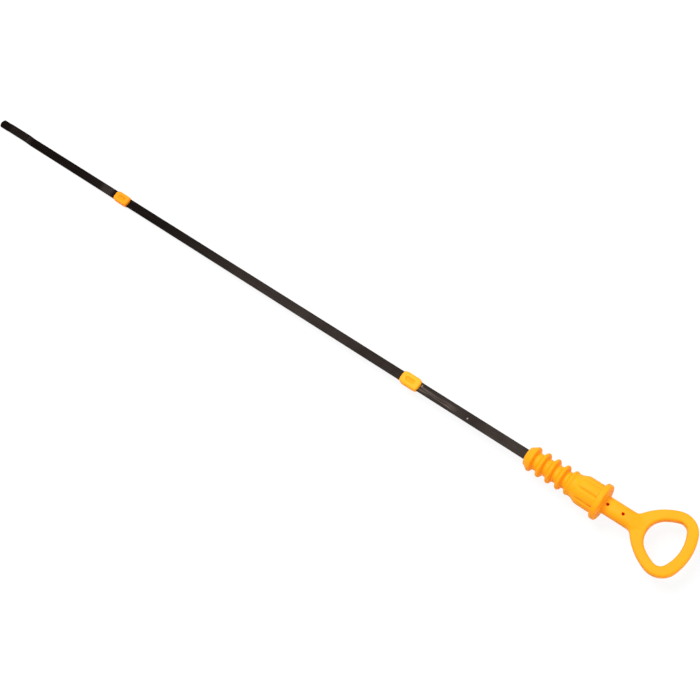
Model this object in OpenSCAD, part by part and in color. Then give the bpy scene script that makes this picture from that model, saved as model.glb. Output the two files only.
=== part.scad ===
// Engine oil dipstick: a flat steel strip with a moulded handle on one end and two moulded guides.
// The strip runs along X with its broad face up. X is 0 at the flange face that stops on the tube,
// the tip lies at -X and the finger ring at +X. Z is 0 in the middle of the strip's thickness.

/* [Blade] */
// Width of the strip
blade_w = 5.8; // [4.8:0.1:6]
// Thickness of the strip
blade_t = 1.2; // [0.8:0.1:1.6]
// Length from the stop face to the tip
blade_reach = 499.2; // [450:0.1:560]
// Length of strip held in the handle past the stop face
blade_hold = 18; // [16:0.5:19]
// Radius of the rounded tip
tip_r = 3.2; // [3:0.1:6]
// Radius of the holes that lock the mouldings to the strip
lock_r = 1.1; // [0.6:0.1:1.6]

/* [Level zone] */
// Distance from the tip to the tip's bend
zone_from_tip = 8.3; // [6:0.1:20]
// Length from the start of the tip's bend to the end of the stem's bend
zone_len = 26.1; // [20:0.1:34]
// Height that the zone stands above the long stem of the strip
zone_rise = 1.7; // [1:0.1:2.2]
// Height that the tip stands above the stem
tip_rise = 0.8; // [0:0.1:0.9]
// Length of the bend on the tip's side of the zone
tip_bend_len = 3; // [1.5:0.1:4]
// Length of the bend on the handle's side of the zone
stem_bend_len = 4; // [1.5:0.1:5]
// Length of the plain stretch between the tip's bend and the full mark
zone_plain = 4.7; // [2:0.1:6]
// Distance between neighbouring hatch grooves, along the strip
hatch_pitch = 1.5; // [1:0.1:3]
// Angle of the hatch grooves to the strip
hatch_angle = 45; // [30:1:60]
// Depth of the hatch grooves
hatch_depth = 0.15; // [0.05:0.05:0.3]
// Width of the two cross marks
mark_w = 0.7; // [0.4:0.1:1.2]
// Depth of the two cross marks
mark_depth = 0.2; // [0.1:0.05:0.3]

/* [Guides] */
// Distance from the stop face to the middle of the guide nearer the tip
lower_guide_at = 369.1; // [340:0.1:400]
// Distance from the stop face to the middle of the guide nearer the handle
upper_guide_at = 123.6; // [90:0.1:160]
// Length of each guide
guide_len = 13.5; // [10:0.1:16]
// Width of the guide nearer the tip
lower_guide_w = 7.6; // [7.2:0.1:9]
// Width of the guide nearer the handle
upper_guide_w = 8.4; // [7.4:0.1:10]
// Thickness of both guides
guide_t = 5; // [4.4:0.1:7]
// Corner radius of the guides seen from above
guide_corner_r = 3.5; // [1.5:0.1:3.5]
// Radius of the edges along the guides
guide_edge_r = 1.8; // [0.6:0.1:2]
// Length of the oval dimple in each broad face of a guide
dimple_len = 6.6; // [4:0.1:8]
// Width of the oval dimple
dimple_w = 2.8; // [1.5:0.1:3.2]
// Depth of the oval dimple
dimple_depth = 0.8; // [0.3:0.1:1.1]

/* [Plug] */
// Length of the plug from the stop face to the end of the collar
plug_len = 43.9; // [43:0.1:46]
// Radius of the end collar
collar_r = 5.5; // [5.2:0.1:6.3]
// Radius of the collar's rounded end edge
collar_edge_r = 1.1; // [0.5:0.1:2]
// Radius of the plug between the ribs
core_r = 5; // [4.7:0.1:5.2]
// Radius of the four full ribs
rib_r = 7.3; // [6.9:0.1:7.6]
// Radius of the rib beside the bell
end_rib_r = 7.1; // [6.9:0.1:7.4]
// Distance between neighbouring full ribs
rib_pitch = 6.1; // [5.7:0.05:6.2]
// Distance from the stop face to the rib beside the bell
end_rib_at = 16.3; // [16:0.1:17]
// Distance between that rib and the nearest full rib
end_rib_gap = 5.4; // [5.4:0.1:6]
// Radius of a full rib's rounded crest
rib_crest_r = 1.15; // [0.8:0.05:1.3]
// Radius of the crest of the rib beside the bell
end_rib_crest_r = 1.15; // [0.8:0.05:1.4]
// Angle of a rib's flank to the radius
rib_flank = 28; // [20:1:32]
// Radius of the fillets at the foot of the ribs
rib_root_r = 1.1; // [0.4:0.1:1.2]

/* [Bell] */
// Radius of the bell
bell_r = 8.45; // [8:0.05:8.8]
// Radius at the bottom of the dip between the bell and the last rib
dip_r = 6.65; // [6.2:0.05:6.9]
// Radius of the dip's curve
dip_curve_r = 3.9; // [2.5:0.1:4.5]
// Radius of the bell's shoulder
shoulder_r = 3.2; // [1:0.1:4]
// Slope of the bell's shoulder
shoulder_slope = 25; // [20:1:36]
// Number of flutes round the bell
flute_count = 8; // [6:1:10]
// Width of a flute at the bell's surface
flute_w = 1.6; // [0.8:0.1:1.6]
// Radius at the bottom of the flutes
flute_floor_r = 7.6; // [6.9:0.1:7.7]
// Turn of the first flute away from the top
flute_turn = 8; // [0:1:20]

/* [Flange] */
// Radius of the stop flange
flange_r = 10.4; // [9.6:0.1:12]
// Thickness of the stop flange
flange_t = 3.4; // [2.6:0.1:4.4]
// Radius of the flange's rounded edges
flange_edge_r = 0.4; // [0.2:0.1:1.1]

/* [Neck] */
// Width of the neck
neck_w = 9.8; // [8.6:0.1:10.4]
// Thickness of the neck
neck_t = 8.6; // [8.2:0.1:9.4]
// Radius of the neck's long edges
neck_edge_r = 3.8; // [2:0.1:3.9]
// Radius of the two locating-pin holes
pin_hole_r = 0.85; // [0.5:0.05:1]
// Distance from the stop face to the first pin hole
pin_hole_at = 5.9; // [5:0.1:7]
// Distance between the pin holes
pin_hole_pitch = 9; // [7:0.1:9.6]
// Depth of the pin holes below the neck's surface
pin_hole_depth = 3.2; // [1.5:0.1:3.2]

/* [Finger ring] */
// Thickness of the ring
ring_t = 6; // [5:0.1:7]
// Radius of the ring's rounded edges
ring_edge_r = 1.3; // [0.6:0.1:1.8]
// Distance from the stop face to where the ring's arms leave the neck
ring_at = 19.3; // [18.8:0.1:22]
// Width of the band between the neck and the opening, along the axis
web_len = 9.2; // [7:0.1:11]
// Radii of the ring's outside: behind the neck, along the side and at the corner
outer_r = [5.8, 32.2, 10.7];
// Angles that those three curves turn through
outer_turn = [29.4, 41.1, 89.5];
// Radii of the finger opening: beside the neck, along the side and at the corner
opening_r = [11.1, 25.4, 4.3];
// Angles that those three curves turn through
opening_turn = [55.2, 16.4, 80.8];
// Radius of the hollow where the arms leave the neck
arm_root_r = 2; // [1:0.1:4]

/* [Hidden] */

$fn = 64;
smooth = 40; // Sides of a full round in the blended shapes
ring_steps = [5, 4, 9, 4]; // Stations along each of the curves of half the ring
cut = 1; // How far a cutter runs past the surface that it opens
lock_overlap = 0.4; // How far the lock's plastic runs on into the moulding
neck_overrun = 2.4; // How far the neck's full width runs on between the arms
yellow = [0.98, 0.72, 0.16];
black_steel = [0.14, 0.12, 0.11];

tip_x = -blade_reach;
zone_x = tip_x + zone_from_tip;
zone_end_x = zone_x + zone_len;
full_mark_x = zone_x + tip_bend_len + zone_plain;
add_mark_x = zone_end_x - stem_bend_len - mark_w;
zone_top = zone_rise + blade_t / 2;
handle_lock_x = -end_rib_at - end_rib_gap - 1.5 * rib_pitch;

rib_x = [for (i = [3:-1:0]) -end_rib_at - end_rib_gap - i * rib_pitch];
neck_x = flange_t - flange_edge_r;
opening_x = ring_at + web_len;

function arc(c, r, from, to, steps = 6) =
    [for (i = [0:steps]) c + r * [cos(from + (to - from) * i / steps), sin(from + (to - from) * i / steps)]];

// The points of a rib from its left foot to its right foot, in the plane of axis and radius.
// The foot fillets touch both the flank and the core.
function foot_reach(top_r, crest_r) =
    (crest_r + rib_root_r - (core_r + rib_root_r - top_r + crest_r) * sin(rib_flank)) / cos(rib_flank);
function left_foot(x, top_r, crest_r) =
    arc([x - foot_reach(top_r, crest_r), core_r + rib_root_r], rib_root_r, 270, 360 - rib_flank, 3);
function right_foot(x, top_r, crest_r) =
    arc([x + foot_reach(top_r, crest_r), core_r + rib_root_r], rib_root_r, 180 + rib_flank, 270, 3);
function crest(x, top_r, crest_r, from, to) = arc([x, top_r - crest_r], crest_r, from, to, 8);

// The end rib, the dip, the shoulder and the bell flow into each other as tangent curves.
end_rib_c = [-end_rib_at, end_rib_r - end_rib_crest_r];
dip_drop = dip_r + dip_curve_r - end_rib_c[1];
dip_c = [end_rib_c[0] + sqrt(pow(end_rib_crest_r + dip_curve_r, 2) - pow(dip_drop, 2)), dip_r + dip_curve_r];
dip_from = asin(dip_drop / (end_rib_crest_r + dip_curve_r));
curve_sum = dip_curve_r + shoulder_r;
shoulder_rise = bell_r - dip_r - curve_sum * (1 - cos(shoulder_slope));
shoulder_x = dip_c[0] + curve_sum * sin(shoulder_slope) + shoulder_rise / tan(shoulder_slope);

function plug_outline() = concat(
    [[-plug_len, 0]],
    arc([-plug_len + collar_edge_r, collar_r - collar_edge_r], collar_edge_r, 180, 90, 5),
    crest(rib_x[0], rib_r, rib_crest_r, 122, rib_flank),
    right_foot(rib_x[0], rib_r, rib_crest_r),
    [for (i = [1:3]) each concat(
        left_foot(rib_x[i], rib_r, rib_crest_r),
        crest(rib_x[i], rib_r, rib_crest_r, 180 - rib_flank, rib_flank),
        right_foot(rib_x[i], rib_r, rib_crest_r))],
    left_foot(-end_rib_at, end_rib_r, end_rib_crest_r),
    crest(-end_rib_at, end_rib_r, end_rib_crest_r, 180 - rib_flank, dip_from),
    arc(dip_c, dip_curve_r, 180 + dip_from, 270 + shoulder_slope, 8),
    arc([shoulder_x, bell_r - shoulder_r], shoulder_r, 90 + shoulder_slope, 90, 4),
    [[0, bell_r]],
    arc([flange_edge_r, flange_r - flange_edge_r], flange_edge_r, 180, 90, 5),
    arc([flange_t - flange_edge_r, flange_r - flange_edge_r], flange_edge_r, 90, 0, 5),
    [[flange_t, 0]]
);

// Follows curves that turn left one after another. Each holds a radius and an angle.
function turn_end(p, heading, r, a) = p + r * [sin(heading + a) - sin(heading), cos(heading) - cos(heading + a)];
function follow(p, heading, r, a, i = 0) = i == len(r) ? [] : concat(
    [for (k = [0:ring_steps[i] - 1]) turn_end(p, heading, r[i], a[i] * k / ring_steps[i])],
    follow(turn_end(p, heading, r[i], a[i]), heading + a[i], r, a, i + 1));
function run_end(p, heading, r, a, i = 0) =
    i == len(r) ? p : run_end(turn_end(p, heading, r[i], a[i]), heading + a[i], r, a, i + 1);

// Half of a rounded triangle from its apex on the axis. A fourth curve meets the axis square.
function half_triangle(apex_x, r, a) =
    let (
        corner = run_end([apex_x, 0], -90, r, a),
        last_turn = 180 - a[0] - a[1] - a[2],
        last_r = -corner[1] / sin(last_turn)
    )
    concat(
        follow([apex_x, 0], -90, concat(r, last_r), concat(a, last_turn)),
        [turn_end(corner, 90 - last_turn, last_r, last_turn)]);
function rounded_triangle(apex_x, r, a) =
    let (half = half_triangle(apex_x, r, a))
    concat(half, [for (i = [len(half) - 2:-1:1]) [half[i][0], -half[i][1]]]);

outside = rounded_triangle(ring_at, outer_r, outer_turn);
opening = rounded_triangle(opening_x, opening_r, opening_turn);

// The band's section at one station, between a point of the opening and its fellow on the outside.
function band_section(inner, outer) =
    let (width = norm(outer - inner), dir = (outer - inner) / width)
    [for (q = band_corner_points(width)) [
        (inner[0] + outer[0]) / 2 + dir[0] * q[0],
        (inner[1] + outer[1]) / 2 + dir[1] * q[0],
        q[1]]];
function band_corner_points(width) = [
    for (k = [0:3]) each arc(
        [sign(cos(45 + 90 * k)) * (width / 2 - ring_edge_r), sign(sin(45 + 90 * k)) * (ring_t / 2 - ring_edge_r)],
        ring_edge_r, 90 * k, 90 * k + 90, 4)];

module along_x() {
    rotate([0, 90, 0]) children();
}

module neck_section() {
    hull()
        for (y = [-1, 1], z = [-1, 1])
            translate([z * (neck_t / 2 - neck_edge_r), y * (neck_w / 2 - neck_edge_r)])
                circle(r = neck_edge_r, $fn = smooth);
}

// The strip seen from the side: a band of constant thickness that steps up and down at the bends.
module strip_profile() {
    half = blade_t / 2;
    tip_lean = half * tan(atan((zone_rise - tip_rise) / tip_bend_len) / 2);
    stem_lean = half * tan(atan(zone_rise / stem_bend_len) / 2);
    polygon([
        [tip_x, tip_rise - half],
        [zone_x + tip_lean, tip_rise - half],
        [zone_x + tip_bend_len + tip_lean, zone_rise - half],
        [zone_end_x - stem_bend_len - stem_lean, zone_rise - half],
        [zone_end_x - stem_lean, -half],
        [blade_hold, -half],
        [blade_hold, half],
        [zone_end_x + stem_lean, half],
        [zone_end_x - stem_bend_len + stem_lean, zone_rise + half],
        [zone_x + tip_bend_len - tip_lean, zone_rise + half],
        [zone_x - tip_lean, tip_rise + half],
        [tip_x, tip_rise + half]
    ]);
}

module strip() {
    intersection() {
        rotate([90, 0, 0])
            linear_extrude(blade_w, center = true) strip_profile();
        union() {
            translate([tip_x + tip_r, 0, 0])
                cylinder(r = tip_r, h = 4 * zone_top, center = true);
            translate([tip_x + tip_r, -blade_w, -2 * zone_top])
                cube([blade_reach + blade_hold, 2 * blade_w, 4 * zone_top]);
        }
    }
}

// A long bar with a square section set on its edge, which cuts a V groove into a face at z = 0.
module groove(depth, length) {
    rotate([45, 0, 0])
        cube([length, sqrt(2) * depth, sqrt(2) * depth], center = true);
}

module level_marks() {
    hatch_from = full_mark_x + mark_w + hatch_pitch / 2;
    hatch_to = add_mark_x - hatch_pitch / 2;
    reach = blade_w / tan(hatch_angle) / 2;
    for (x = [full_mark_x, add_mark_x])
        translate([x, -blade_w, zone_top - mark_depth])
            cube([mark_w, 2 * blade_w, mark_depth + cut]);
    intersection() {
        translate([hatch_from, -blade_w, zone_top - cut])
            cube([hatch_to - hatch_from, 2 * blade_w, 2 * cut]);
        for (x = [hatch_from - reach:hatch_pitch:hatch_to + reach], side = [-1, 1])
            translate([x, 0, zone_top])
                rotate([0, 0, side * hatch_angle])
                    groove(hatch_depth, 2 * blade_w / sin(hatch_angle));
    }
}

module lock_holes(r) {
    for (x = [-lower_guide_at, -upper_guide_at, handle_lock_x])
        translate([x, 0, 0])
            cylinder(r = r, h = blade_t + 2 * cut, center = true);
}

module blade() {
    color(black_steel)
        difference() {
            strip();
            level_marks();
            lock_holes(lock_r);
        }
}

// The moulding filled in round the strip, with the plastic that runs through its lock hole.
module moulded_round_blade(lock_x) {
    difference() {
        children();
        strip();
    }
    translate([lock_x, 0, 0])
        cylinder(r = lock_r, h = blade_t + 2 * lock_overlap, center = true);
}

module plug_and_flange() {
    difference() {
        along_x()
            rotate_extrude()
                polygon([for (p = plug_outline()) [p[1], p[0]]]);
        for (i = [0:flute_count - 1])
            rotate([i * 360 / flute_count + flute_turn, 0, 0])
                flute();
    }
}

// A wedge that cuts one flute, from the dip to the stop face.
module flute() {
    depth = bell_r - flute_floor_r;
    spread = flute_w / 2 * (depth + cut) / depth;
    translate([dip_c[0], 0, 0])
        rotate([90, 0, 90])
            linear_extrude(-dip_c[0])
                polygon([[0, flute_floor_r], [spread, bell_r + cut], [-spread, bell_r + cut]]);
}

// The neck keeps its section up to the ring and then tapers down into the band behind the opening.
module neck() {
    end_x = opening_x - ring_edge_r;
    end_w = ring_edge_r;
    end_t = ring_t - ring_edge_r;
    intersection() {
        translate([neck_x, 0, 0])
            along_x()
                linear_extrude(end_x - neck_x) neck_section();
        linear_extrude(neck_t, center = true)
            taper(ring_at + neck_overrun, end_x, neck_w, end_w);
        rotate([90, 0, 0])
            linear_extrude(neck_w, center = true)
                taper(ring_at, end_x, neck_t, end_t);
    }
}

module taper(from_x, end_x, size, end_size) {
    polygon([
        [neck_x, -size / 2], [from_x, -size / 2], [end_x, -end_size / 2],
        [end_x, end_size / 2], [from_x, size / 2], [neck_x, size / 2]
    ]);
}

// A loft round the opening. Stations on the opening and on the outside are paired curve by curve.
module finger_ring() {
    stations = len(opening);
    sections = [for (i = [0:stations - 1]) band_section(opening[i], outside[i])];
    n = len(sections[0]);
    polyhedron(
        points = [for (section = sections) each section],
        faces = [for (i = [0:stations - 1], j = [0:n - 1], half = [0, 1])
            let (
                this = i * n,
                next = (i + 1) % stations * n,
                k = (j + 1) % n
            )
            half == 0 ? [this + j, next + k, next + j] : [this + j, this + k, next + k]]);
}

// The hollows between the neck and the arms, filled to a small radius.
module arm_roots() {
    linear_extrude(ring_t - 2 * ring_edge_r, center = true)
        intersection() {
            translate([ring_at - neck_w / 2, -neck_w])
                square([neck_w, 2 * neck_w]);
            offset(r = -arm_root_r)
                offset(delta = arm_root_r) {
                    polygon(outside);
                    translate([neck_x, -neck_w / 2 + ring_edge_r / 2])
                        square([ring_at, neck_w - ring_edge_r]);
                }
        }
}

module pin_holes() {
    for (i = [0, 1], side = [0, 180])
        translate([pin_hole_at + i * pin_hole_pitch, 0, 0])
            rotate([side, 0, 0])
                translate([0, 0, neck_t / 2 - pin_hole_depth])
                    cylinder(r = pin_hole_r, h = pin_hole_depth + cut);
}

module handle() {
    color(yellow)
        moulded_round_blade(handle_lock_x)
            difference() {
                union() {
                    plug_and_flange();
                    neck();
                    arm_roots();
                    finger_ring();
                }
                pin_holes();
            }
}

module rounded_box(length, width, r) {
    hull()
        for (x = [-1, 1], y = [-1, 1])
            translate([x * (length / 2 - r), y * (width / 2 - r)])
                circle(r = r, $fn = smooth);
}

// A pillow that is rounded in all three views, with an oval dimple in its upper and lower face.
module guide_body(width) {
    difference() {
        intersection() {
            linear_extrude(guide_t, center = true)
                rounded_box(guide_len, width, guide_corner_r);
            rotate([90, 0, 0])
                linear_extrude(width, center = true)
                    rounded_box(guide_len, guide_t, guide_edge_r);
            along_x()
                linear_extrude(guide_len, center = true)
                    rounded_box(guide_t, width, guide_edge_r);
        }
        for (side = [-1, 1])
            dimple(side);
    }
}

// The dimple is the tip of a long rounded bar, sunk into the face.
module dimple(side) {
    bar_r = (dimple_w * dimple_w / 4 + dimple_depth * dimple_depth) / (2 * dimple_depth);
    run = (dimple_len - dimple_w) / 2;
    z = side * (guide_t / 2 - dimple_depth + bar_r);
    translate([0, 0, z])
        along_x()
            cylinder(r = bar_r, h = 2 * run, center = true);
    for (x = [-run, run])
        translate([x, 0, z])
            sphere(r = bar_r);
}

module guide(at, width) {
    color(yellow)
        moulded_round_blade(-at)
            translate([-at, 0, 0])
                guide_body(width);
}

module lower_guide() {
    guide(lower_guide_at, lower_guide_w);
}

module upper_guide() {
    guide(upper_guide_at, upper_guide_w);
}

blade();
handle();
lower_guide();
upper_guide();
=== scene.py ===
import math
import bpy
import numpy as np
from mathutils import Matrix, Vector


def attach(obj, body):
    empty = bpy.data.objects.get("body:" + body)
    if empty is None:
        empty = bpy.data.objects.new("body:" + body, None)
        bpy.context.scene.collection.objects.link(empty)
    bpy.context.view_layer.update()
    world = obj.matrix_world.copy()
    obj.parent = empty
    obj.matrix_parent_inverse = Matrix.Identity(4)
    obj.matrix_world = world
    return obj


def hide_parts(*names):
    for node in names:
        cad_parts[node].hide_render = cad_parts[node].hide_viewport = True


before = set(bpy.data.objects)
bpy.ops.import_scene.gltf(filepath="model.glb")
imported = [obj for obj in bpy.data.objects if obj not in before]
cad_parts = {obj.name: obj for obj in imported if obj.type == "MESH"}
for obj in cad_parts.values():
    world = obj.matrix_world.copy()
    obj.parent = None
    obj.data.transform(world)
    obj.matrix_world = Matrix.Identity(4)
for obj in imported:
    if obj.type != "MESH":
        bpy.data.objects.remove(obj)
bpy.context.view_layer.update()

MM = 0.001

# Sizes in millimetres and angles in degrees, the same as in the part's source
BLADE_REACH, BLADE_T = 499.2, 1.2
ZONE_FROM_TIP, ZONE_LEN = 8.3, 26.1
LOWER_GUIDE_AT, LOWER_GUIDE_W = 369.1, 7.6
UPPER_GUIDE_AT, UPPER_GUIDE_W = 123.6, 8.4
GUIDE_LEN, GUIDE_T = 13.5, 5.0
GUIDE_CORNER_R, GUIDE_EDGE_R = 3.5, 1.8
DIMPLE_LEN, DIMPLE_W, DIMPLE_DEPTH = 6.6, 2.8, 0.8
PLUG_LEN = 43.9
COLLAR_R, COLLAR_EDGE_R = 5.5, 1.1
CORE_R, RIB_R, END_RIB_R = 5.0, 7.3, 7.1
RIB_PITCH, END_RIB_AT, END_RIB_GAP = 6.1, 16.3, 5.4
RIB_CREST_R, END_RIB_CREST_R = 1.15, 1.15
RIB_FLANK, RIB_ROOT_R = 28.0, 1.1
BELL_R, DIP_R, DIP_CURVE_R = 8.45, 6.65, 3.9
SHOULDER_R, SHOULDER_SLOPE = 3.2, 25.0
FLUTE_COUNT, FLUTE_W, FLUTE_FLOOR_R, FLUTE_TURN = 8, 1.6, 7.6, 8.0
FLANGE_R, FLANGE_T = 10.4, 3.4
NECK_W, NECK_T, NECK_EDGE_R, NECK_OVERRUN = 9.8, 8.6, 3.8, 2.4
PIN_HOLE_R, PIN_HOLE_AT, PIN_HOLE_PITCH, PIN_HOLE_DEPTH = 0.85, 5.9, 9.0, 3.2
RING_T, RING_EDGE_R, RING_AT, WEB_LEN = 6.0, 1.3, 19.3, 9.2
OUTER_R, OUTER_TURN = (5.8, 32.2, 10.7), (29.4, 41.1, 89.5)
OPENING_R, OPENING_TURN = (11.1, 25.4, 4.3), (55.2, 16.4, 80.8)
PIN_HOLES = (PIN_HOLE_AT, PIN_HOLE_AT + PIN_HOLE_PITCH)
GUIDES = (("lower_guide", LOWER_GUIDE_AT, LOWER_GUIDE_W), ("upper_guide", UPPER_GUIDE_AT, UPPER_GUIDE_W))

# Roundings of the scene's own, where forms meet or end, in millimetres
FLANGE_SOFT_R, FLANGE_FOOT_R, NECK_FOOT, RING_FOOT = 1.0, 0.7, 3.0, 2.4
# The most of the neck's half width or thickness that its edge may round
NECK_EDGE_SHARE = 0.9
FLUTE_SOFT, PIN_HOLE_SOFT = 1.2, 0.15
GUIDE_END_SOFT, GUIDE_TOP_SOFT, DIMPLE_SOFT = 0.5, 1.4, 0.3
BLADE_EDGE_W = 0.18

# How finely the forms are worked out, in millimetres, and the stretches that they lie in
HANDLE_STEP, GUIDE_STEP = 0.3, 0.16
PLUG_TABLE_STEP, RING_TABLE_STEP = 0.04, 0.05
PLUG_SPAN = ((-46, -0.5), (6, 12))
RING_SPAN = ((16, -0.5), (56, 20))
HANDLE_SPAN = ((-44, -18.1, -10.4), (53.0, 18.1, 10.4))


def sin(a):
    return math.sin(math.radians(a))


def cos(a):
    return math.cos(math.radians(a))


# Outlines

# The outline of the plug is closed by a line this far past the axis
PAST_AXIS = -3.0
# Where the collar's slope reaches the crest of the first rib, as an angle on that crest
COLLAR_CREST = 122
CORNER_STEPS, FOOT_STEPS, CREST_STEPS, RING_STEPS = 8, 6, 14, 24


def arc(centre, radius, start, end, steps=CORNER_STEPS):
    return [(centre[0] + radius * cos(start + (end - start) * i / steps),
             centre[1] + radius * sin(start + (end - start) * i / steps)) for i in range(steps + 1)]


def foot_reach(top_r, crest_r):
    """From a rib's middle to the middle of the curve at its foot."""
    return (crest_r + RIB_ROOT_R - (CORE_R + RIB_ROOT_R - top_r + crest_r) * sin(RIB_FLANK)) / cos(RIB_FLANK)


def left_foot(x, top_r, crest_r):
    centre = (x - foot_reach(top_r, crest_r), CORE_R + RIB_ROOT_R)
    return arc(centre, RIB_ROOT_R, 270, 360 - RIB_FLANK, FOOT_STEPS)


def right_foot(x, top_r, crest_r):
    centre = (x + foot_reach(top_r, crest_r), CORE_R + RIB_ROOT_R)
    return arc(centre, RIB_ROOT_R, 180 + RIB_FLANK, 270, FOOT_STEPS)


def crest(x, top_r, crest_r, start, end):
    return arc((x, top_r - crest_r), crest_r, start, end, CREST_STEPS)


def plug_outline():
    """A closed outline of axis and radius for plug, bell and flange, and the dip's place on the axis."""
    ribs = [-END_RIB_AT - END_RIB_GAP - i * RIB_PITCH for i in (3, 2, 1, 0)]
    rise = END_RIB_CREST_R + DIP_CURVE_R
    drop = DIP_R + DIP_CURVE_R - (END_RIB_R - END_RIB_CREST_R)
    dip = (-END_RIB_AT + math.sqrt(rise ** 2 - drop ** 2), DIP_R + DIP_CURVE_R)
    dip_from = math.degrees(math.asin(drop / rise))
    both = DIP_CURVE_R + SHOULDER_R
    left_to_rise = BELL_R - DIP_R - both * (1 - cos(SHOULDER_SLOPE))
    shoulder_x = dip[0] + both * sin(SHOULDER_SLOPE) + left_to_rise / math.tan(math.radians(SHOULDER_SLOPE))
    pts = [(-PLUG_LEN, PAST_AXIS)]
    pts += arc((-PLUG_LEN + COLLAR_EDGE_R, COLLAR_R - COLLAR_EDGE_R), COLLAR_EDGE_R, 180, 90)
    pts += crest(ribs[0], RIB_R, RIB_CREST_R, COLLAR_CREST, RIB_FLANK)
    pts += right_foot(ribs[0], RIB_R, RIB_CREST_R)
    for x in ribs[1:]:
        pts += left_foot(x, RIB_R, RIB_CREST_R)
        pts += crest(x, RIB_R, RIB_CREST_R, 180 - RIB_FLANK, RIB_FLANK)
        pts += right_foot(x, RIB_R, RIB_CREST_R)
    pts += left_foot(-END_RIB_AT, END_RIB_R, END_RIB_CREST_R)
    pts += crest(-END_RIB_AT, END_RIB_R, END_RIB_CREST_R, 180 - RIB_FLANK, dip_from)
    pts += arc(dip, DIP_CURVE_R, 180 + dip_from, 270 + SHOULDER_SLOPE, CREST_STEPS)
    pts += arc((shoulder_x, BELL_R - SHOULDER_R), SHOULDER_R, 90 + SHOULDER_SLOPE, 90, FOOT_STEPS)
    pts += arc((-FLANGE_FOOT_R, BELL_R + FLANGE_FOOT_R), FLANGE_FOOT_R, 270, 360)
    pts += arc((FLANGE_SOFT_R, FLANGE_R - FLANGE_SOFT_R), FLANGE_SOFT_R, 180, 90)
    pts += arc((FLANGE_T - FLANGE_SOFT_R, FLANGE_R - FLANGE_SOFT_R), FLANGE_SOFT_R, 90, 0)
    pts += [(FLANGE_T, PAST_AXIS)]
    return pts, dip[0]


def turn_end(p, heading, r, a):
    return (p[0] + r * (sin(heading + a) - sin(heading)), p[1] + r * (cos(heading) - cos(heading + a)))


def rounded_triangle(apex_x, radii, turns):
    """Half is four curves that turn left one after another, the other half mirrors it."""
    radii, turns = list(radii), list(turns)
    p, heading = (apex_x, 0.0), -90.0
    for r, a in zip(radii, turns):
        p, heading = turn_end(p, heading, r, a), heading + a
    last = 180 - sum(turns)
    radii.append(-p[1] / sin(last))
    turns.append(last)
    half, p, heading = [], (apex_x, 0.0), -90.0
    for r, a in zip(radii, turns):
        half += [turn_end(p, heading, r, a * k / RING_STEPS) for k in range(RING_STEPS)]
        p, heading = turn_end(p, heading, r, a), heading + a
    half.append(p)
    return half + [(x, -y) for x, y in reversed(half[1:-1])]


# Fields: the distance to a surface in millimetres, below 0 inside


def polygon_distance(x, y, outline):
    """Signed distance of each point from a closed outline."""
    best = np.full(x.shape, 1e9)
    inside = np.zeros(x.shape, dtype=bool)
    for (ax, ay), (bx, by) in zip(outline, outline[1:] + outline[:1]):
        ex, ey = bx - ax, by - ay
        length = ex * ex + ey * ey
        if length < 1e-12:
            continue
        px, py = x - ax, y - ay
        t = np.clip((px * ex + py * ey) / length, 0, 1)
        best = np.minimum(best, (px - t * ex) ** 2 + (py - t * ey) ** 2)
        if ay != by:
            crosses = ((ay > y) != (by > y)) & (px < ex * (y - ay) / (by - ay))
            inside ^= crosses
    return np.where(inside, -1, 1) * np.sqrt(best)


class Table:
    """A distance worked out once on a fine flat grid and read by linear interpolation."""

    def __init__(self, span, step, fill):
        low, high = span
        self.low, self.step = low, step
        self.shape = [int(math.ceil((h - l) / step)) + 1 for l, h in zip(low, high)]
        grid = np.meshgrid(*[l + step * np.arange(n) for l, n in zip(low, self.shape)], indexing="ij")
        self.values = fill(*grid)

    def at(self, x, y):
        u = np.clip((x - self.low[0]) / self.step, 0, self.shape[0] - 1.001)
        v = np.clip((y - self.low[1]) / self.step, 0, self.shape[1] - 1.001)
        i, j = u.astype(int), v.astype(int)
        u, v = u - i, v - j
        t = self.values
        return ((t[i, j] * (1 - u) + t[i + 1, j] * u) * (1 - v)
                + (t[i, j + 1] * (1 - u) + t[i + 1, j + 1] * u) * v)


def join(a, b, k):
    """Union with a fillet about k across."""
    h = np.clip(k - np.abs(a - b), 0, None) / k
    return np.minimum(a, b) - h * h * h * k / 6


def meet(a, b, k):
    """Intersection with its edge rounded about k across."""
    return -join(-a, -b, k)


def rounded_meet(a, b, r):
    """Intersection of two square-on distances with an edge of radius r."""
    a, b = a + r, b + r
    return np.minimum(np.maximum(a, b), 0) + np.hypot(np.maximum(a, 0), np.maximum(b, 0)) - r


def rounded_bar(a, b, half_a, half_b, r):
    """An endless bar of rectangular section with its edges rounded by r."""
    return rounded_meet(np.abs(a) - half_a, np.abs(b) - half_b, r)


# Meshes from fields

# How often points move onto the surface, how far off its slope is read, and its least slope squared
SETTLES, SLOPE_READ, LEAST_SLOPE = 4, 0.02, 0.25


def settle(field, points, step):
    """Moves the points onto the field's zero surface."""
    for _ in range(SETTLES):
        x, y, z = points.T
        here = field(x, y, z)
        slope = np.stack([field(x + SLOPE_READ, y, z) - field(x - SLOPE_READ, y, z),
                          field(x, y + SLOPE_READ, z) - field(x, y - SLOPE_READ, z),
                          field(x, y, z + SLOPE_READ) - field(x, y, z - SLOPE_READ)], axis=1)
        slope /= 2 * SLOPE_READ
        size = np.maximum((slope ** 2).sum(axis=1), LEAST_SLOPE)
        move = np.clip(here / size, -step / 2, step / 2)
        points -= slope * move[:, None]


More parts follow.
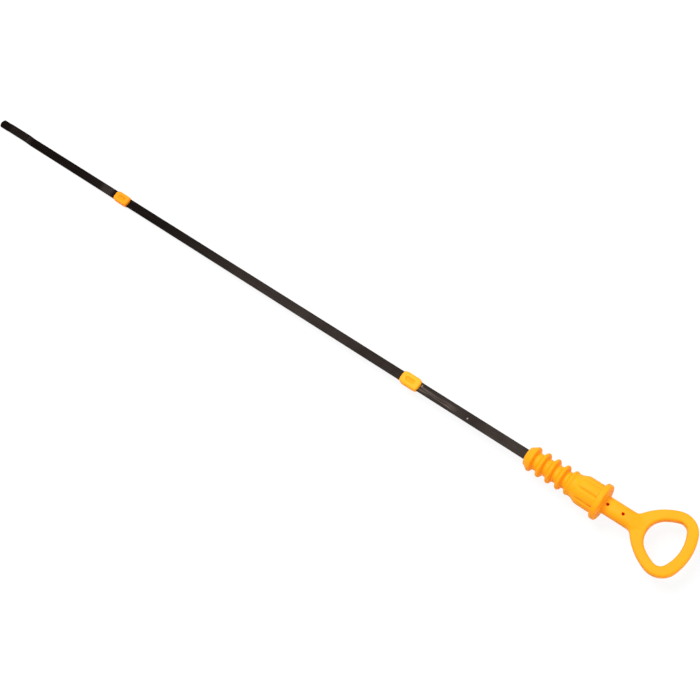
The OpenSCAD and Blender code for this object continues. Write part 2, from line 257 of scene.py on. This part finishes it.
def surface_net(field, low, high, step):
    """A quad mesh of the field's zero surface, with its points moved onto the surface."""
    low, high = np.array(low) - 2 * step, np.array(high) + 2 * step
    axes = [np.arange(l, h + step, step) for l, h in zip(low, high)]
    shape = [len(a) for a in axes]
    values = np.empty(shape)
    yz = np.meshgrid(axes[1], axes[2], indexing="ij")
    for i, x in enumerate(axes[0]):
        values[i] = field(np.full(yz[0].size, x), yz[0].ravel(), yz[1].ravel()).reshape(yz[0].shape)
    inside = values < 0
    cells = tuple(n - 1 for n in shape)
    total, count = np.zeros(cells + (3,)), np.zeros(cells)
    for axis in range(3):
        others = [a for a in range(3) if a != axis]
        for da in (0, 1):
            for db in (0, 1):
                start, end = [slice(None)] * 3, [slice(None)] * 3
                start[axis], end[axis] = slice(0, -1), slice(1, None)
                for other, d in zip(others, (da, db)):
                    start[other] = end[other] = slice(d, shape[other] - 1 + d)
                v0, v1 = values[tuple(start)], values[tuple(end)]
                crossing = inside[tuple(start)] != inside[tuple(end)]
                t = np.where(crossing, v0 / np.where(crossing, v0 - v1, 1), 0)
                total[..., axis] += t
                total[..., others[0]] += crossing * da
                total[..., others[1]] += crossing * db
                count += crossing
    active = count > 0
    index = np.full(cells, -1)
    index[active] = np.arange(active.sum())
    where = np.argwhere(active)
    points = (where + total[active] / count[active][:, None]) * step + low
    quads = []
    for axis in range(3):
        b, c = (axis + 1) % 3, (axis + 2) % 3
        start, end = [slice(None)] * 3, [slice(None)] * 3
        start[axis], end[axis] = slice(0, -1), slice(1, None)
        flips = np.argwhere(inside[tuple(start)] != inside[tuple(end)])
        flips = flips[(flips[:, b] > 0) & (flips[:, c] > 0)]
        outward = inside[tuple(flips.T)]
        ring = []
        for sb, sc in ((-1, -1), (0, -1), (0, 0), (-1, 0)):
            cell = flips.copy()
            cell[:, b] += sb
            cell[:, c] += sc
            ring.append(index[tuple(cell.T)])
        ring = np.stack(ring, axis=1)
        quads.append(np.where(outward[:, None], ring, ring[:, ::-1]))
    settle(field, points, step)
    return points, np.concatenate(quads)


def piece_from_field(name, field, low, high, step, material, node):
    points, quads = surface_net(field, low, high, step)
    mesh = bpy.data.meshes.new(name)
    mesh.vertices.add(len(points))
    mesh.vertices.foreach_set("co", (points * MM).astype(np.float32).ravel())
    mesh.loops.add(quads.size)
    mesh.loops.foreach_set("vertex_index", quads.astype(np.int32).ravel())
    mesh.polygons.add(len(quads))
    mesh.polygons.foreach_set("loop_start", (np.arange(len(quads)) * 4).astype(np.int32))
    mesh.polygons.foreach_set("use_smooth", np.ones(len(quads), dtype=bool))
    mesh.update(calc_edges=True)
    mesh.validate()
    mesh.materials.append(material)
    obj = bpy.data.objects.new(name, mesh)
    bpy.context.scene.collection.objects.link(obj)
    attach(obj, "root")
    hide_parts(node)


# Handle


def flutes(x, y, z, from_x):
    """The wedges cut round the bell, from the dip before it to the stop face."""
    r = np.hypot(y, z)
    turn = np.degrees(np.arctan2(y, z)) + FLUTE_TURN
    pitch = 360 / FLUTE_COUNT
    off = np.radians((turn + pitch / 2) % pitch - pitch / 2) * r
    depth = BELL_R - FLUTE_FLOOR_R
    wide = math.atan2(FLUTE_W / 2, depth)
    wedge = np.abs(off) * math.cos(wide) - (r - FLUTE_FLOOR_R) * math.sin(wide)
    return np.maximum(wedge, np.maximum(from_x - x, x))


def neck(x, y, z, end_x):
    """The neck, which narrows and thins into the ring."""
    wide_to = RING_AT + NECK_OVERRUN
    fade = np.clip((x - wide_to) / (end_x - wide_to), 0, 1)
    half_w = NECK_W / 2 + (RING_EDGE_R / 2 - NECK_W / 2) * fade
    fade = np.clip((x - RING_AT) / (end_x - RING_AT), 0, 1)
    half_t = NECK_T / 2 + ((RING_T - RING_EDGE_R) / 2 - NECK_T / 2) * fade
    edge = np.minimum(NECK_EDGE_R, np.minimum(half_w, half_t) * NECK_EDGE_SHARE)
    return np.maximum(rounded_bar(y, z, half_w, half_t, edge), np.maximum(-x, x - end_x))


def pin_hole(x, y, z, at):
    return np.maximum(np.hypot(x - at, y) - PIN_HOLE_R, NECK_T / 2 - PIN_HOLE_DEPTH - np.abs(z))


def handle_field():
    outline, dip_x = plug_outline()
    outer = rounded_triangle(RING_AT, OUTER_R, OUTER_TURN)
    opening = rounded_triangle(RING_AT + WEB_LEN, OPENING_R, OPENING_TURN)
    end_x = RING_AT + WEB_LEN - RING_EDGE_R

    def ring_distance(x, y):
        return np.maximum(polygon_distance(x, y, outer), -polygon_distance(x, y, opening))

    plug_table = Table(PLUG_SPAN, PLUG_TABLE_STEP, lambda x, r: polygon_distance(x, r, outline))
    ring_table = Table(RING_SPAN, RING_TABLE_STEP, ring_distance)

    def field(x, y, z):
        plug = meet(plug_table.at(x, np.hypot(y, z)), -flutes(x, y, z, dip_x), FLUTE_SOFT)
        ring = rounded_meet(ring_table.at(x, np.abs(y)), np.abs(z) - RING_T / 2, RING_EDGE_R)
        body = join(neck(x, y, z, end_x), ring, RING_FOOT)
        body = join(body, plug, NECK_FOOT)
        for at in PIN_HOLES:
            body = meet(body, -pin_hole(x, y, z, at), PIN_HOLE_SOFT)
        return body

    return field


# Guides


def guide_field(at, width):
    dimple_r = (DIMPLE_W ** 2 / 4 + DIMPLE_DEPTH ** 2) / (2 * DIMPLE_DEPTH)
    dimple_run = (DIMPLE_LEN - DIMPLE_W) / 2
    dimple_z = GUIDE_T / 2 - DIMPLE_DEPTH + dimple_r

    def field(x, y, z):
        x = x + at
        top = rounded_bar(x, y, GUIDE_LEN / 2, width / 2, GUIDE_CORNER_R)
        side = rounded_bar(x, z, GUIDE_LEN / 2, GUIDE_T / 2, GUIDE_EDGE_R)
        end = rounded_bar(y, z, width / 2, GUIDE_T / 2, GUIDE_EDGE_R)
        body = meet(meet(side, end, GUIDE_END_SOFT), top, GUIDE_TOP_SOFT)
        past = np.clip(np.abs(x) - dimple_run, 0, None)
        dimple = np.sqrt(past ** 2 + y ** 2 + (np.abs(z) - dimple_z) ** 2) - dimple_r
        return meet(body, -dimple, DIMPLE_SOFT)

    return field


# Materials

# The sockets of Blender's colour mix
MIX_FACTOR, MIX_A, MIX_B, MIX_RESULT = 0, 6, 7, 2


class Nodes:
    """Short calls for a material's node tree."""

    def __init__(self, name):
        self.material = bpy.data.materials.new(name)
        self.material.use_nodes = True
        self.tree = self.material.node_tree
        self.shader = self.tree.nodes["Principled BSDF"]

    def node(self, kind, **values):
        node = self.tree.nodes.new(kind)
        for key, value in values.items():
            setattr(node, key, value)
        return node

    def link(self, source, target):
        self.tree.links.new(source, target)

    def feed(self, value, socket):
        """A number or a colour is set on the socket, and another socket is linked to it."""
        if isinstance(value, (int, float)):
            socket.default_value = value
        elif isinstance(value, tuple):
            socket.default_value = value + (1.0,)
        else:
            self.link(value, socket)

    def place(self, scale=(1, 1, 1)):
        spot = self.node("ShaderNodeTexCoord")
        size = self.node("ShaderNodeMapping")
        size.inputs["Scale"].default_value = scale
        self.link(spot.outputs["Object"], size.inputs["Vector"])
        return size.outputs["Vector"]

    def axes(self, where):
        parts = self.node("ShaderNodeSeparateXYZ")
        self.link(where, parts.inputs[0])
        return parts.outputs["X"], parts.outputs["Y"], parts.outputs["Z"]

    def noise(self, where, scale, detail, rough):
        noise = self.node("ShaderNodeTexNoise")
        noise.inputs["Scale"].default_value = scale
        noise.inputs["Detail"].default_value = detail
        noise.inputs["Roughness"].default_value = rough
        self.link(where, noise.inputs["Vector"])
        return noise.outputs["Fac"]

    def ramp(self, value, low, high, out_low=0.0, out_high=1.0):
        ramp = self.node("ShaderNodeMapRange")
        for key, number in (("From Min", low), ("From Max", high), ("To Min", out_low), ("To Max", out_high)):
            ramp.inputs[key].default_value = number
        self.link(value, ramp.inputs["Value"])
        return ramp.outputs["Result"]

    def math(self, kind, a, b=0.0):
        node = self.node("ShaderNodeMath", operation=kind)
        for value, socket in zip((a, b), node.inputs):
            self.feed(value, socket)
        return node.outputs["Value"]

    def mix(self, factor, a, b):
        node = self.node("ShaderNodeMix", data_type="RGBA")
        for value, place in ((factor, MIX_FACTOR), (a, MIX_A), (b, MIX_B)):
            self.feed(value, node.inputs[place])
        return node.outputs[MIX_RESULT]

    def tint(self, factor, colour, by):
        """The colour multiplied by another, as far as the factor says."""
        tinted = self.mix(factor, colour, by)
        tinted.node.blend_type = "MULTIPLY"
        return tinted

    def band(self, value, low, high, soft):
        """1 between low and high, falling to 0 over a soft stretch outside them."""
        return self.math("MULTIPLY", self.ramp(value, low - soft, low), self.ramp(value, high + soft, high))

    def ellipse(self, x, y, middle, half_length, half_width):
        """0 in an ellipse's middle, 1 on its edge and more outside it."""
        along = self.math("DIVIDE", self.math("SUBTRACT", x, middle[0] * MM), half_length * MM)
        across = self.math("DIVIDE", self.math("SUBTRACT", y, middle[1] * MM), half_width * MM)
        return self.math("ADD", self.math("POWER", along, 2.0), self.math("POWER", across, 2.0))

    def below(self, z, face, start, full):
        """0 at a face this high above the middle, and 1 where the surface lies well below it."""
        return self.ramp(self.math("ABSOLUTE", z), (face - start) * MM, (face - full) * MM)

    def along_strip(self, x, stops):
        """A level that runs straight between stops, each a distance in millimetres and a value."""
        ramp = self.node("ShaderNodeValToRGB")
        first, last = stops[0][0], stops[-1][0]
        elements = ramp.color_ramp.elements
        while len(elements) < len(stops):
            elements.new(0.5)
        for element, (at, level) in zip(elements, stops):
            element.position = (at - first) / (last - first)
            element.color = (level, level, level, 1)
        self.link(self.ramp(x, first * MM, last * MM), ramp.inputs["Fac"])
        return ramp.outputs["Color"]

    def bump(self, height, strength, distance, under=None):
        bump = self.node("ShaderNodeBump")
        bump.inputs["Strength"].default_value = strength
        bump.inputs["Distance"].default_value = distance
        self.link(height, bump.inputs["Height"])
        if under is not None:
            self.link(under, bump.inputs["Normal"])
        return bump.outputs["Normal"]


# Linear colours, of which a name in the plural holds the two ends of a cloudy or streaky mix
HANDLE_COLOURS = (1.0, 0.362, 0.006), (1.0, 0.328, 0.004)
GUIDE_COLOURS = (1.0, 0.390, 0.012), (1.0, 0.350, 0.009)
OIL_COLOURS = (0.94, 0.67, 0.30), (0.94, 0.75, 0.36)
# Painted shade: tints that darken the colour inside the pin holes and the dimples
PIN_HOLE_PAINTED_SHADE, DIMPLE_PAINTED_SHADE = (0.95, 0.38, 0.3), (1.0, 0.88, 0.4)
OXIDE_COLOURS = (0.0032, 0.0021, 0.0019), (0.0075, 0.0052, 0.0044)
# A painted highlight colour for light streaks on the strip, and the colour of light spots on its top face
HIGHLIGHT_STREAK_COLOUR, LIGHT_SPOT_COLOUR = (0.085, 0.062, 0.055), (0.36, 0.30, 0.27)

# Between these distances from the stop face the oil's stain comes up to its full strength
STAIN_FROM, STAIN_FULL = -200, -300
# The painted shade in a pin hole, which darkens its colour down inside it, fades in between these shares of
# its radius
PIN_HOLE_FADE = (1.15, 0.9)
# How far below its face a pin hole or a dimple starts to darken with painted shade, and where it is fully so
PIN_HOLE_SHADE, DIMPLE_SHADE = (0.05, 0.6), (0.1, 0.6)
# Half the length and width of the painted shade in a dimple, and how softly it ends along and across
DIMPLE_DEEP, DIMPLE_FADE = (2.4, 0.9), (0.8, 0.5)
# The stretch beside the upper guide with painted highlight streaks, along and across, and how softly it ends
HIGHLIGHT_STREAK_AT, HIGHLIGHT_STREAK_ACROSS, HIGHLIGHT_STREAK_FADE = (-116, -96), (-1.4, 0.6), (6, 0.8)
# How strongly the strip shines along its length, in millimetres from the stop face
STRIP_SHEEN = ((-500, 0.008), (-489, 0.01), (-484, 0.115), (-471, 0.12), (-468, 0.04), (-465, 0.008),
               (-455, 0.01), (-410, 0.022), (-391, 0.037), (-388, 0.19), (-381, 0.19), (-378, 0.02),
               (-330, 0.019), (-243, 0.09), (-173, 0.067), (-138, 0.056), (-117, 0.071), (-82, 0.078),
               (-57, 0.117), (0, 0.117))
# Light spots on the strip's top face: the middle, half the length and half the width in millimetres, and how
# bright
LIGHT_SPOTS = (((-83.2, -0.75), 0.35, 0.5, 1.0), ((-116.2, 1.25), 0.45, 0.6, 0.5))


def moulded_plastic(name, colours, oil=False, holes=(), dimples=()):
    """Satin plastic with a soft cloud in its colour.

    Oil stains what lies far down the strip, and pin holes and dimples are darker inside with painted shade.
    """
    m = Nodes(name)
    where = m.place()
    x, y, z = m.axes(where)
    cloud = m.noise(where, 90.0, 3.0, 0.55)
    colour = m.mix(m.ramp(cloud, 0.3, 0.7), *colours)
    if oil:
        stain = m.mix(m.noise(where, 500.0, 2.0, 0.5), *OIL_COLOURS)
        colour = m.tint(m.ramp(x, STAIN_FROM * MM, STAIN_FULL * MM), colour, stain)
    # Painted shade down inside each pin hole
    for at in holes:
        far = m.ellipse(x, y, (at, 0), PIN_HOLE_R, PIN_HOLE_R)
        inside = m.ramp(far, PIN_HOLE_FADE[0] ** 2, PIN_HOLE_FADE[1] ** 2)
        painted_shade = m.math("MULTIPLY", inside, m.below(z, NECK_T / 2, *PIN_HOLE_SHADE))
        colour = m.tint(painted_shade, colour, PIN_HOLE_PAINTED_SHADE)
    # Painted shade down inside each dimple
    for at in dimples:
        along = m.band(x, (-at - DIMPLE_DEEP[0]) * MM, (-at + DIMPLE_DEEP[0]) * MM, DIMPLE_FADE[0] * MM)
        across = m.band(y, -DIMPLE_DEEP[1] * MM, DIMPLE_DEEP[1] * MM, DIMPLE_FADE[1] * MM)
        inside = m.math("MULTIPLY", along, across)
        painted_shade = m.math("MULTIPLY", inside, m.below(z, GUIDE_T / 2, *DIMPLE_SHADE))
        colour = m.tint(painted_shade, colour, DIMPLE_PAINTED_SHADE)
    m.link(colour, m.shader.inputs["Base Color"])
    satin = m.noise(where, 260.0, 3.0, 0.6)
    m.link(m.ramp(satin, 0.3, 0.7, 0.48, 0.60), m.shader.inputs["Roughness"])
    wave = m.bump(m.noise(where, 220.0, 2.0, 0.5), 0.12, 0.6 * MM)
    skin = m.bump(m.noise(where, 1500.0, 2.0, 0.6), 0.10, 0.1 * MM, wave)
    m.link(skin, m.shader.inputs["Normal"])
    m.shader.inputs["IOR"].default_value = 1.47
    m.shader.inputs["Specular IOR Level"].default_value = 0.14
    return m.material


def black_oxide(name):
    """Dark steel shaped by drawing, duller on the half that dips into the oil, with painted highlight streaks
    and light spots beside the upper guide.
    """
    m = Nodes(name)
    along = m.place((0.03, 1.0, 1.0))
    plain = m.place()
    x, y, z = m.axes(plain)
    streak = m.noise(along, 1800.0, 4.0, 0.6)
    patch = m.noise(plain, 60.0, 4.0, 0.6)
    colour = m.mix(m.ramp(streak, 0.35, 0.7), *OXIDE_COLOURS)
    # Painted highlight: light streaks beside the upper guide
    highlight_streaks = m.math("MULTIPLY", m.band(x, HIGHLIGHT_STREAK_AT[0] * MM, HIGHLIGHT_STREAK_AT[1] * MM, HIGHLIGHT_STREAK_FADE[0] * MM),
                   m.band(y, HIGHLIGHT_STREAK_ACROSS[0] * MM, HIGHLIGHT_STREAK_ACROSS[1] * MM, HIGHLIGHT_STREAK_FADE[1] * MM))
    highlight_streaks = m.math("MULTIPLY", highlight_streaks, m.ramp(m.noise(along, 2600.0, 2.0, 0.5), 0.48, 0.62))
    colour = m.mix(highlight_streaks, colour, HIGHLIGHT_STREAK_COLOUR)
    for middle, half_length, half_width, bright in LIGHT_SPOTS:
        far = m.ellipse(x, y, middle, half_length, half_width)
        spot = m.math("MULTIPLY", m.ramp(far, 1.6, 0.4, 0.0, bright), m.ramp(z, 0.3 * MM, 0.5 * MM))
        colour = m.mix(spot, colour, LIGHT_SPOT_COLOUR)
    m.link(colour, m.shader.inputs["Base Color"])
    rough = m.math("ADD", m.ramp(patch, 0.3, 0.7, 0.36, 0.46), m.ramp(streak, 0.3, 0.7, -0.04, 0.05))
    m.link(rough, m.shader.inputs["Roughness"])
    m.link(m.bump(streak, 0.22, 0.04 * MM), m.shader.inputs["Normal"])
    sheen = m.math("MULTIPLY", m.along_strip(x, STRIP_SHEEN), m.ramp(streak, 0.3, 0.7, 0.7, 1.3))
    m.link(sheen, m.shader.inputs["Specular IOR Level"])
    m.shader.inputs["Specular Tint"].default_value = (1.0, 0.78, 0.67, 1.0)
    return m.material


# Pieces


def dress_blade():
    """The blade of the frame, with its sharp edges broken."""
    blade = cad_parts["blade"]
    blade.data.materials.clear()
    blade.data.materials.append(black_oxide("blade_steel"))
    edge = blade.modifiers.new("soft_edges", "BEVEL")
    edge.width = BLADE_EDGE_W * MM
    edge.segments = 2
    edge.limit_method = "ANGLE"
    edge.angle_limit = math.radians(50)


def make_handle():
    plastic = moulded_plastic("handle_plastic", HANDLE_COLOURS, holes=PIN_HOLES)
    low, high = HANDLE_SPAN
    piece_from_field("handle_moulding", handle_field(), low, high, HANDLE_STEP, plastic,
                     "handle")


def make_guides():
    plastic = moulded_plastic("guide_plastic", GUIDE_COLOURS, True, dimples=(LOWER_GUIDE_AT, UPPER_GUIDE_AT))
    for node, at, width in GUIDES:
        low = (-at - GUIDE_LEN / 2, -width / 2, -GUIDE_T / 2)
        high = (-at + GUIDE_LEN / 2, width / 2, GUIDE_T / 2)
        piece_from_field(node + "_moulding", guide_field(at, width), low, high, GUIDE_STEP, plastic,
                         node)


dress_blade()
make_handle()
make_guides()


# Floor, on which the flange's rim and the strip's last bend rest

FLOOR_HALF, FLOOR_GAP = 6.0, 0.05 * MM
FLOOR_GREY, FLOOR_SEEN_GREY, FLOOR_GLOW = 0.8, 0.09, 0.90


def make_floor():
    bend = Vector((ZONE_FROM_TIP + ZONE_LEN - BLADE_REACH, 0, -BLADE_T / 2))
    rim = Vector((FLANGE_T / 2, 0, -FLANGE_R))
    lean = math.atan2(bend.z - rim.z, rim.x - bend.x)
    half = FLOOR_HALF
    corners = [(-half, -half, 0), (half, -half, 0), (half, half, 0), (-half, half, 0)]
    mesh = bpy.data.meshes.new("floor")
    mesh.from_pydata(corners, [], [(0, 1, 2, 3)])
    floor = bpy.data.objects.new("floor", mesh)
    bpy.context.scene.collection.objects.link(floor)
    foot = rim * MM - Vector((0, 0, FLOOR_GAP))
    floor.matrix_world = Matrix.Translation(foot) @ Matrix.Rotation(lean, 4, "Y")
    mesh.materials.append(white_floor())


def white_floor():
    """Plain grey to the lamps' light, and near white with its shadow to the camera."""
    m = Nodes("floor")
    m.feed((FLOOR_GREY,) * 3, m.shader.inputs["Base Color"])
    m.shader.inputs["Roughness"].default_value = 0.9
    m.shader.inputs["Specular IOR Level"].default_value = 0.0
    glow = m.node("ShaderNodeEmission")
    glow.inputs["Strength"].default_value = FLOOR_GLOW
    shade = m.node("ShaderNodeBsdfDiffuse")
    m.feed((FLOOR_SEEN_GREY,) * 3, shade.inputs["Color"])
    both = m.node("ShaderNodeAddShader")
    m.link(shade.outputs[0], both.inputs[0])
    m.link(glow.outputs[0], both.inputs[1])
    path = m.node("ShaderNodeLightPath")
    seen = m.math("MAXIMUM", path.outputs["Is Camera Ray"], path.outputs["Is Glossy Ray"])
    seen = m.math("MAXIMUM", seen, path.outputs["Is Transmission Ray"])
    pick = m.node("ShaderNodeMixShader")
    m.link(seen, pick.inputs[0])
    m.link(m.shader.outputs[0], pick.inputs[1])
    m.link(both.outputs[0], pick.inputs[2])
    m.link(pick.outputs[0], m.tree.nodes["Material Output"].inputs["Surface"])
    return m.material


make_floor()


# World and lamps

# The sky's strength on the tip's side as a share of the rest, at the horizon, and overhead
SKY_TIP_SIDE, SKY_LOW, SKY_HIGH = 0.06, 0.20, 0.90
# Between these heights and sides of a direction the sky's strength changes
SKY_SIDES, SKY_HEIGHTS = (-0.85, -0.15), (0.0, 0.8)
# What the lamps shine at, in metres
STICK_MIDDLE = (-0.15, 0, 0)


def make_world():
    """A sky that is brightest overhead and fades out towards the tip's side, which the strip mirrors."""
    world = bpy.data.worlds.new("world")
    world.use_nodes = True
    bpy.context.scene.world = world
    tree = world.node_tree
    sky = tree.nodes["Background"]
    sky.inputs["Color"].default_value = (1, 1, 1, 1)
    spot = tree.nodes.new("ShaderNodeTexCoord")
    parts = tree.nodes.new("ShaderNodeSeparateXYZ")
    tree.links.new(spot.outputs["Generated"], parts.inputs[0])
    both = tree.nodes.new("ShaderNodeMath")
    both.operation = "MULTIPLY"
    fades = (("X", SKY_SIDES, (SKY_TIP_SIDE, 1.0)), ("Z", SKY_HEIGHTS, (SKY_LOW, SKY_HIGH)))
    for (axis, span, ends), target in zip(fades, both.inputs):
        fade = tree.nodes.new("ShaderNodeMapRange")
        fade.interpolation_type = "SMOOTHSTEP"
        for key, number in zip(("From Min", "From Max", "To Min", "To Max"), span + ends):
            fade.inputs[key].default_value = number
        tree.links.new(parts.outputs[axis], fade.inputs["Value"])
        tree.links.new(fade.outputs["Result"], target)
    tree.links.new(both.outputs[0], sky.inputs["Strength"])
    white = tree.nodes.new("ShaderNodeBackground")
    white.inputs["Color"].default_value = (1, 1, 1, 1)
    white.inputs["Strength"].default_value = 1.0
    path = tree.nodes.new("ShaderNodeLightPath")
    pick = tree.nodes.new("ShaderNodeMixShader")
    tree.links.new(path.outputs["Is Camera Ray"], pick.inputs[0])
    tree.links.new(sky.outputs[0], pick.inputs[1])
    tree.links.new(white.outputs[0], pick.inputs[2])
    tree.links.new(pick.outputs[0], tree.nodes["World Output"].inputs["Surface"])


def area_lamp(name, direction, distance, size, power):
    """A square lamp that shines at the middle of the stick, with its sizes in metres."""
    away = Vector(direction).normalized()
    lamp = bpy.data.lights.new(name, "AREA")
    lamp.shape = "SQUARE"
    lamp.size = size
    lamp.energy = power
    obj = bpy.data.objects.new(name, lamp)
    obj.location = Vector(STICK_MIDDLE) + away * distance
    obj.rotation_euler = away.to_track_quat("Z", "Y").to_euler()
    bpy.context.scene.collection.objects.link(obj)


make_world()
area_lamp("key", (-0.35, 0.18, 0.9), 1.6, 0.8, 27.5)
area_lamp("fill", (1.0, -0.05, 0.06), 1.6, 0.5, 6.5)


# Camera, fitted to the stick's width and the spacing of its features in the photograph

# Angles in degrees, places and the sensor in millimetres, and the focal length in the photograph's pixels
CAMERA_TILT, CAMERA_ROLL, CAMERA_TURN = 25.55, 10.0, 32.45
CAMERA_AIM, CAMERA_DISTANCE = (-166.4, -3.52, 0.0), 615.7
CAMERA_F, PHOTO_SIDE, SENSOR_SIDE = 1050.0, 700.0, 36.0


def make_camera():
    level = cos(CAMERA_TILT)
    back = Vector((sin(CAMERA_TILT), -level * sin(CAMERA_ROLL), level * cos(CAMERA_ROLL)))
    back.normalize()
    along = (Vector((1, 0, 0)) - back * back.x).normalized()
    across = along.cross(back)
    right = along * cos(CAMERA_TURN) - across * sin(CAMERA_TURN)
    down = along * sin(CAMERA_TURN) + across * cos(CAMERA_TURN)
    turn = Matrix((right, -down, back)).transposed().to_4x4()
    camera = bpy.data.cameras.new("camera")
    camera.sensor_fit = "HORIZONTAL"
    camera.sensor_width = SENSOR_SIDE
    camera.lens = SENSOR_SIDE * CAMERA_F / PHOTO_SIDE
    camera.clip_start = 0.01
    camera.clip_end = 50.0
    obj = bpy.data.objects.new("camera", camera)
    obj.matrix_world = Matrix.Translation((Vector(CAMERA_AIM) + back * CAMERA_DISTANCE) * MM) @ turn
    bpy.context.scene.collection.objects.link(obj)
    bpy.context.scene.camera = obj


make_camera()
bpy.context.scene.view_settings.view_transform = "Standard"

bpy.context.view_layer.update()
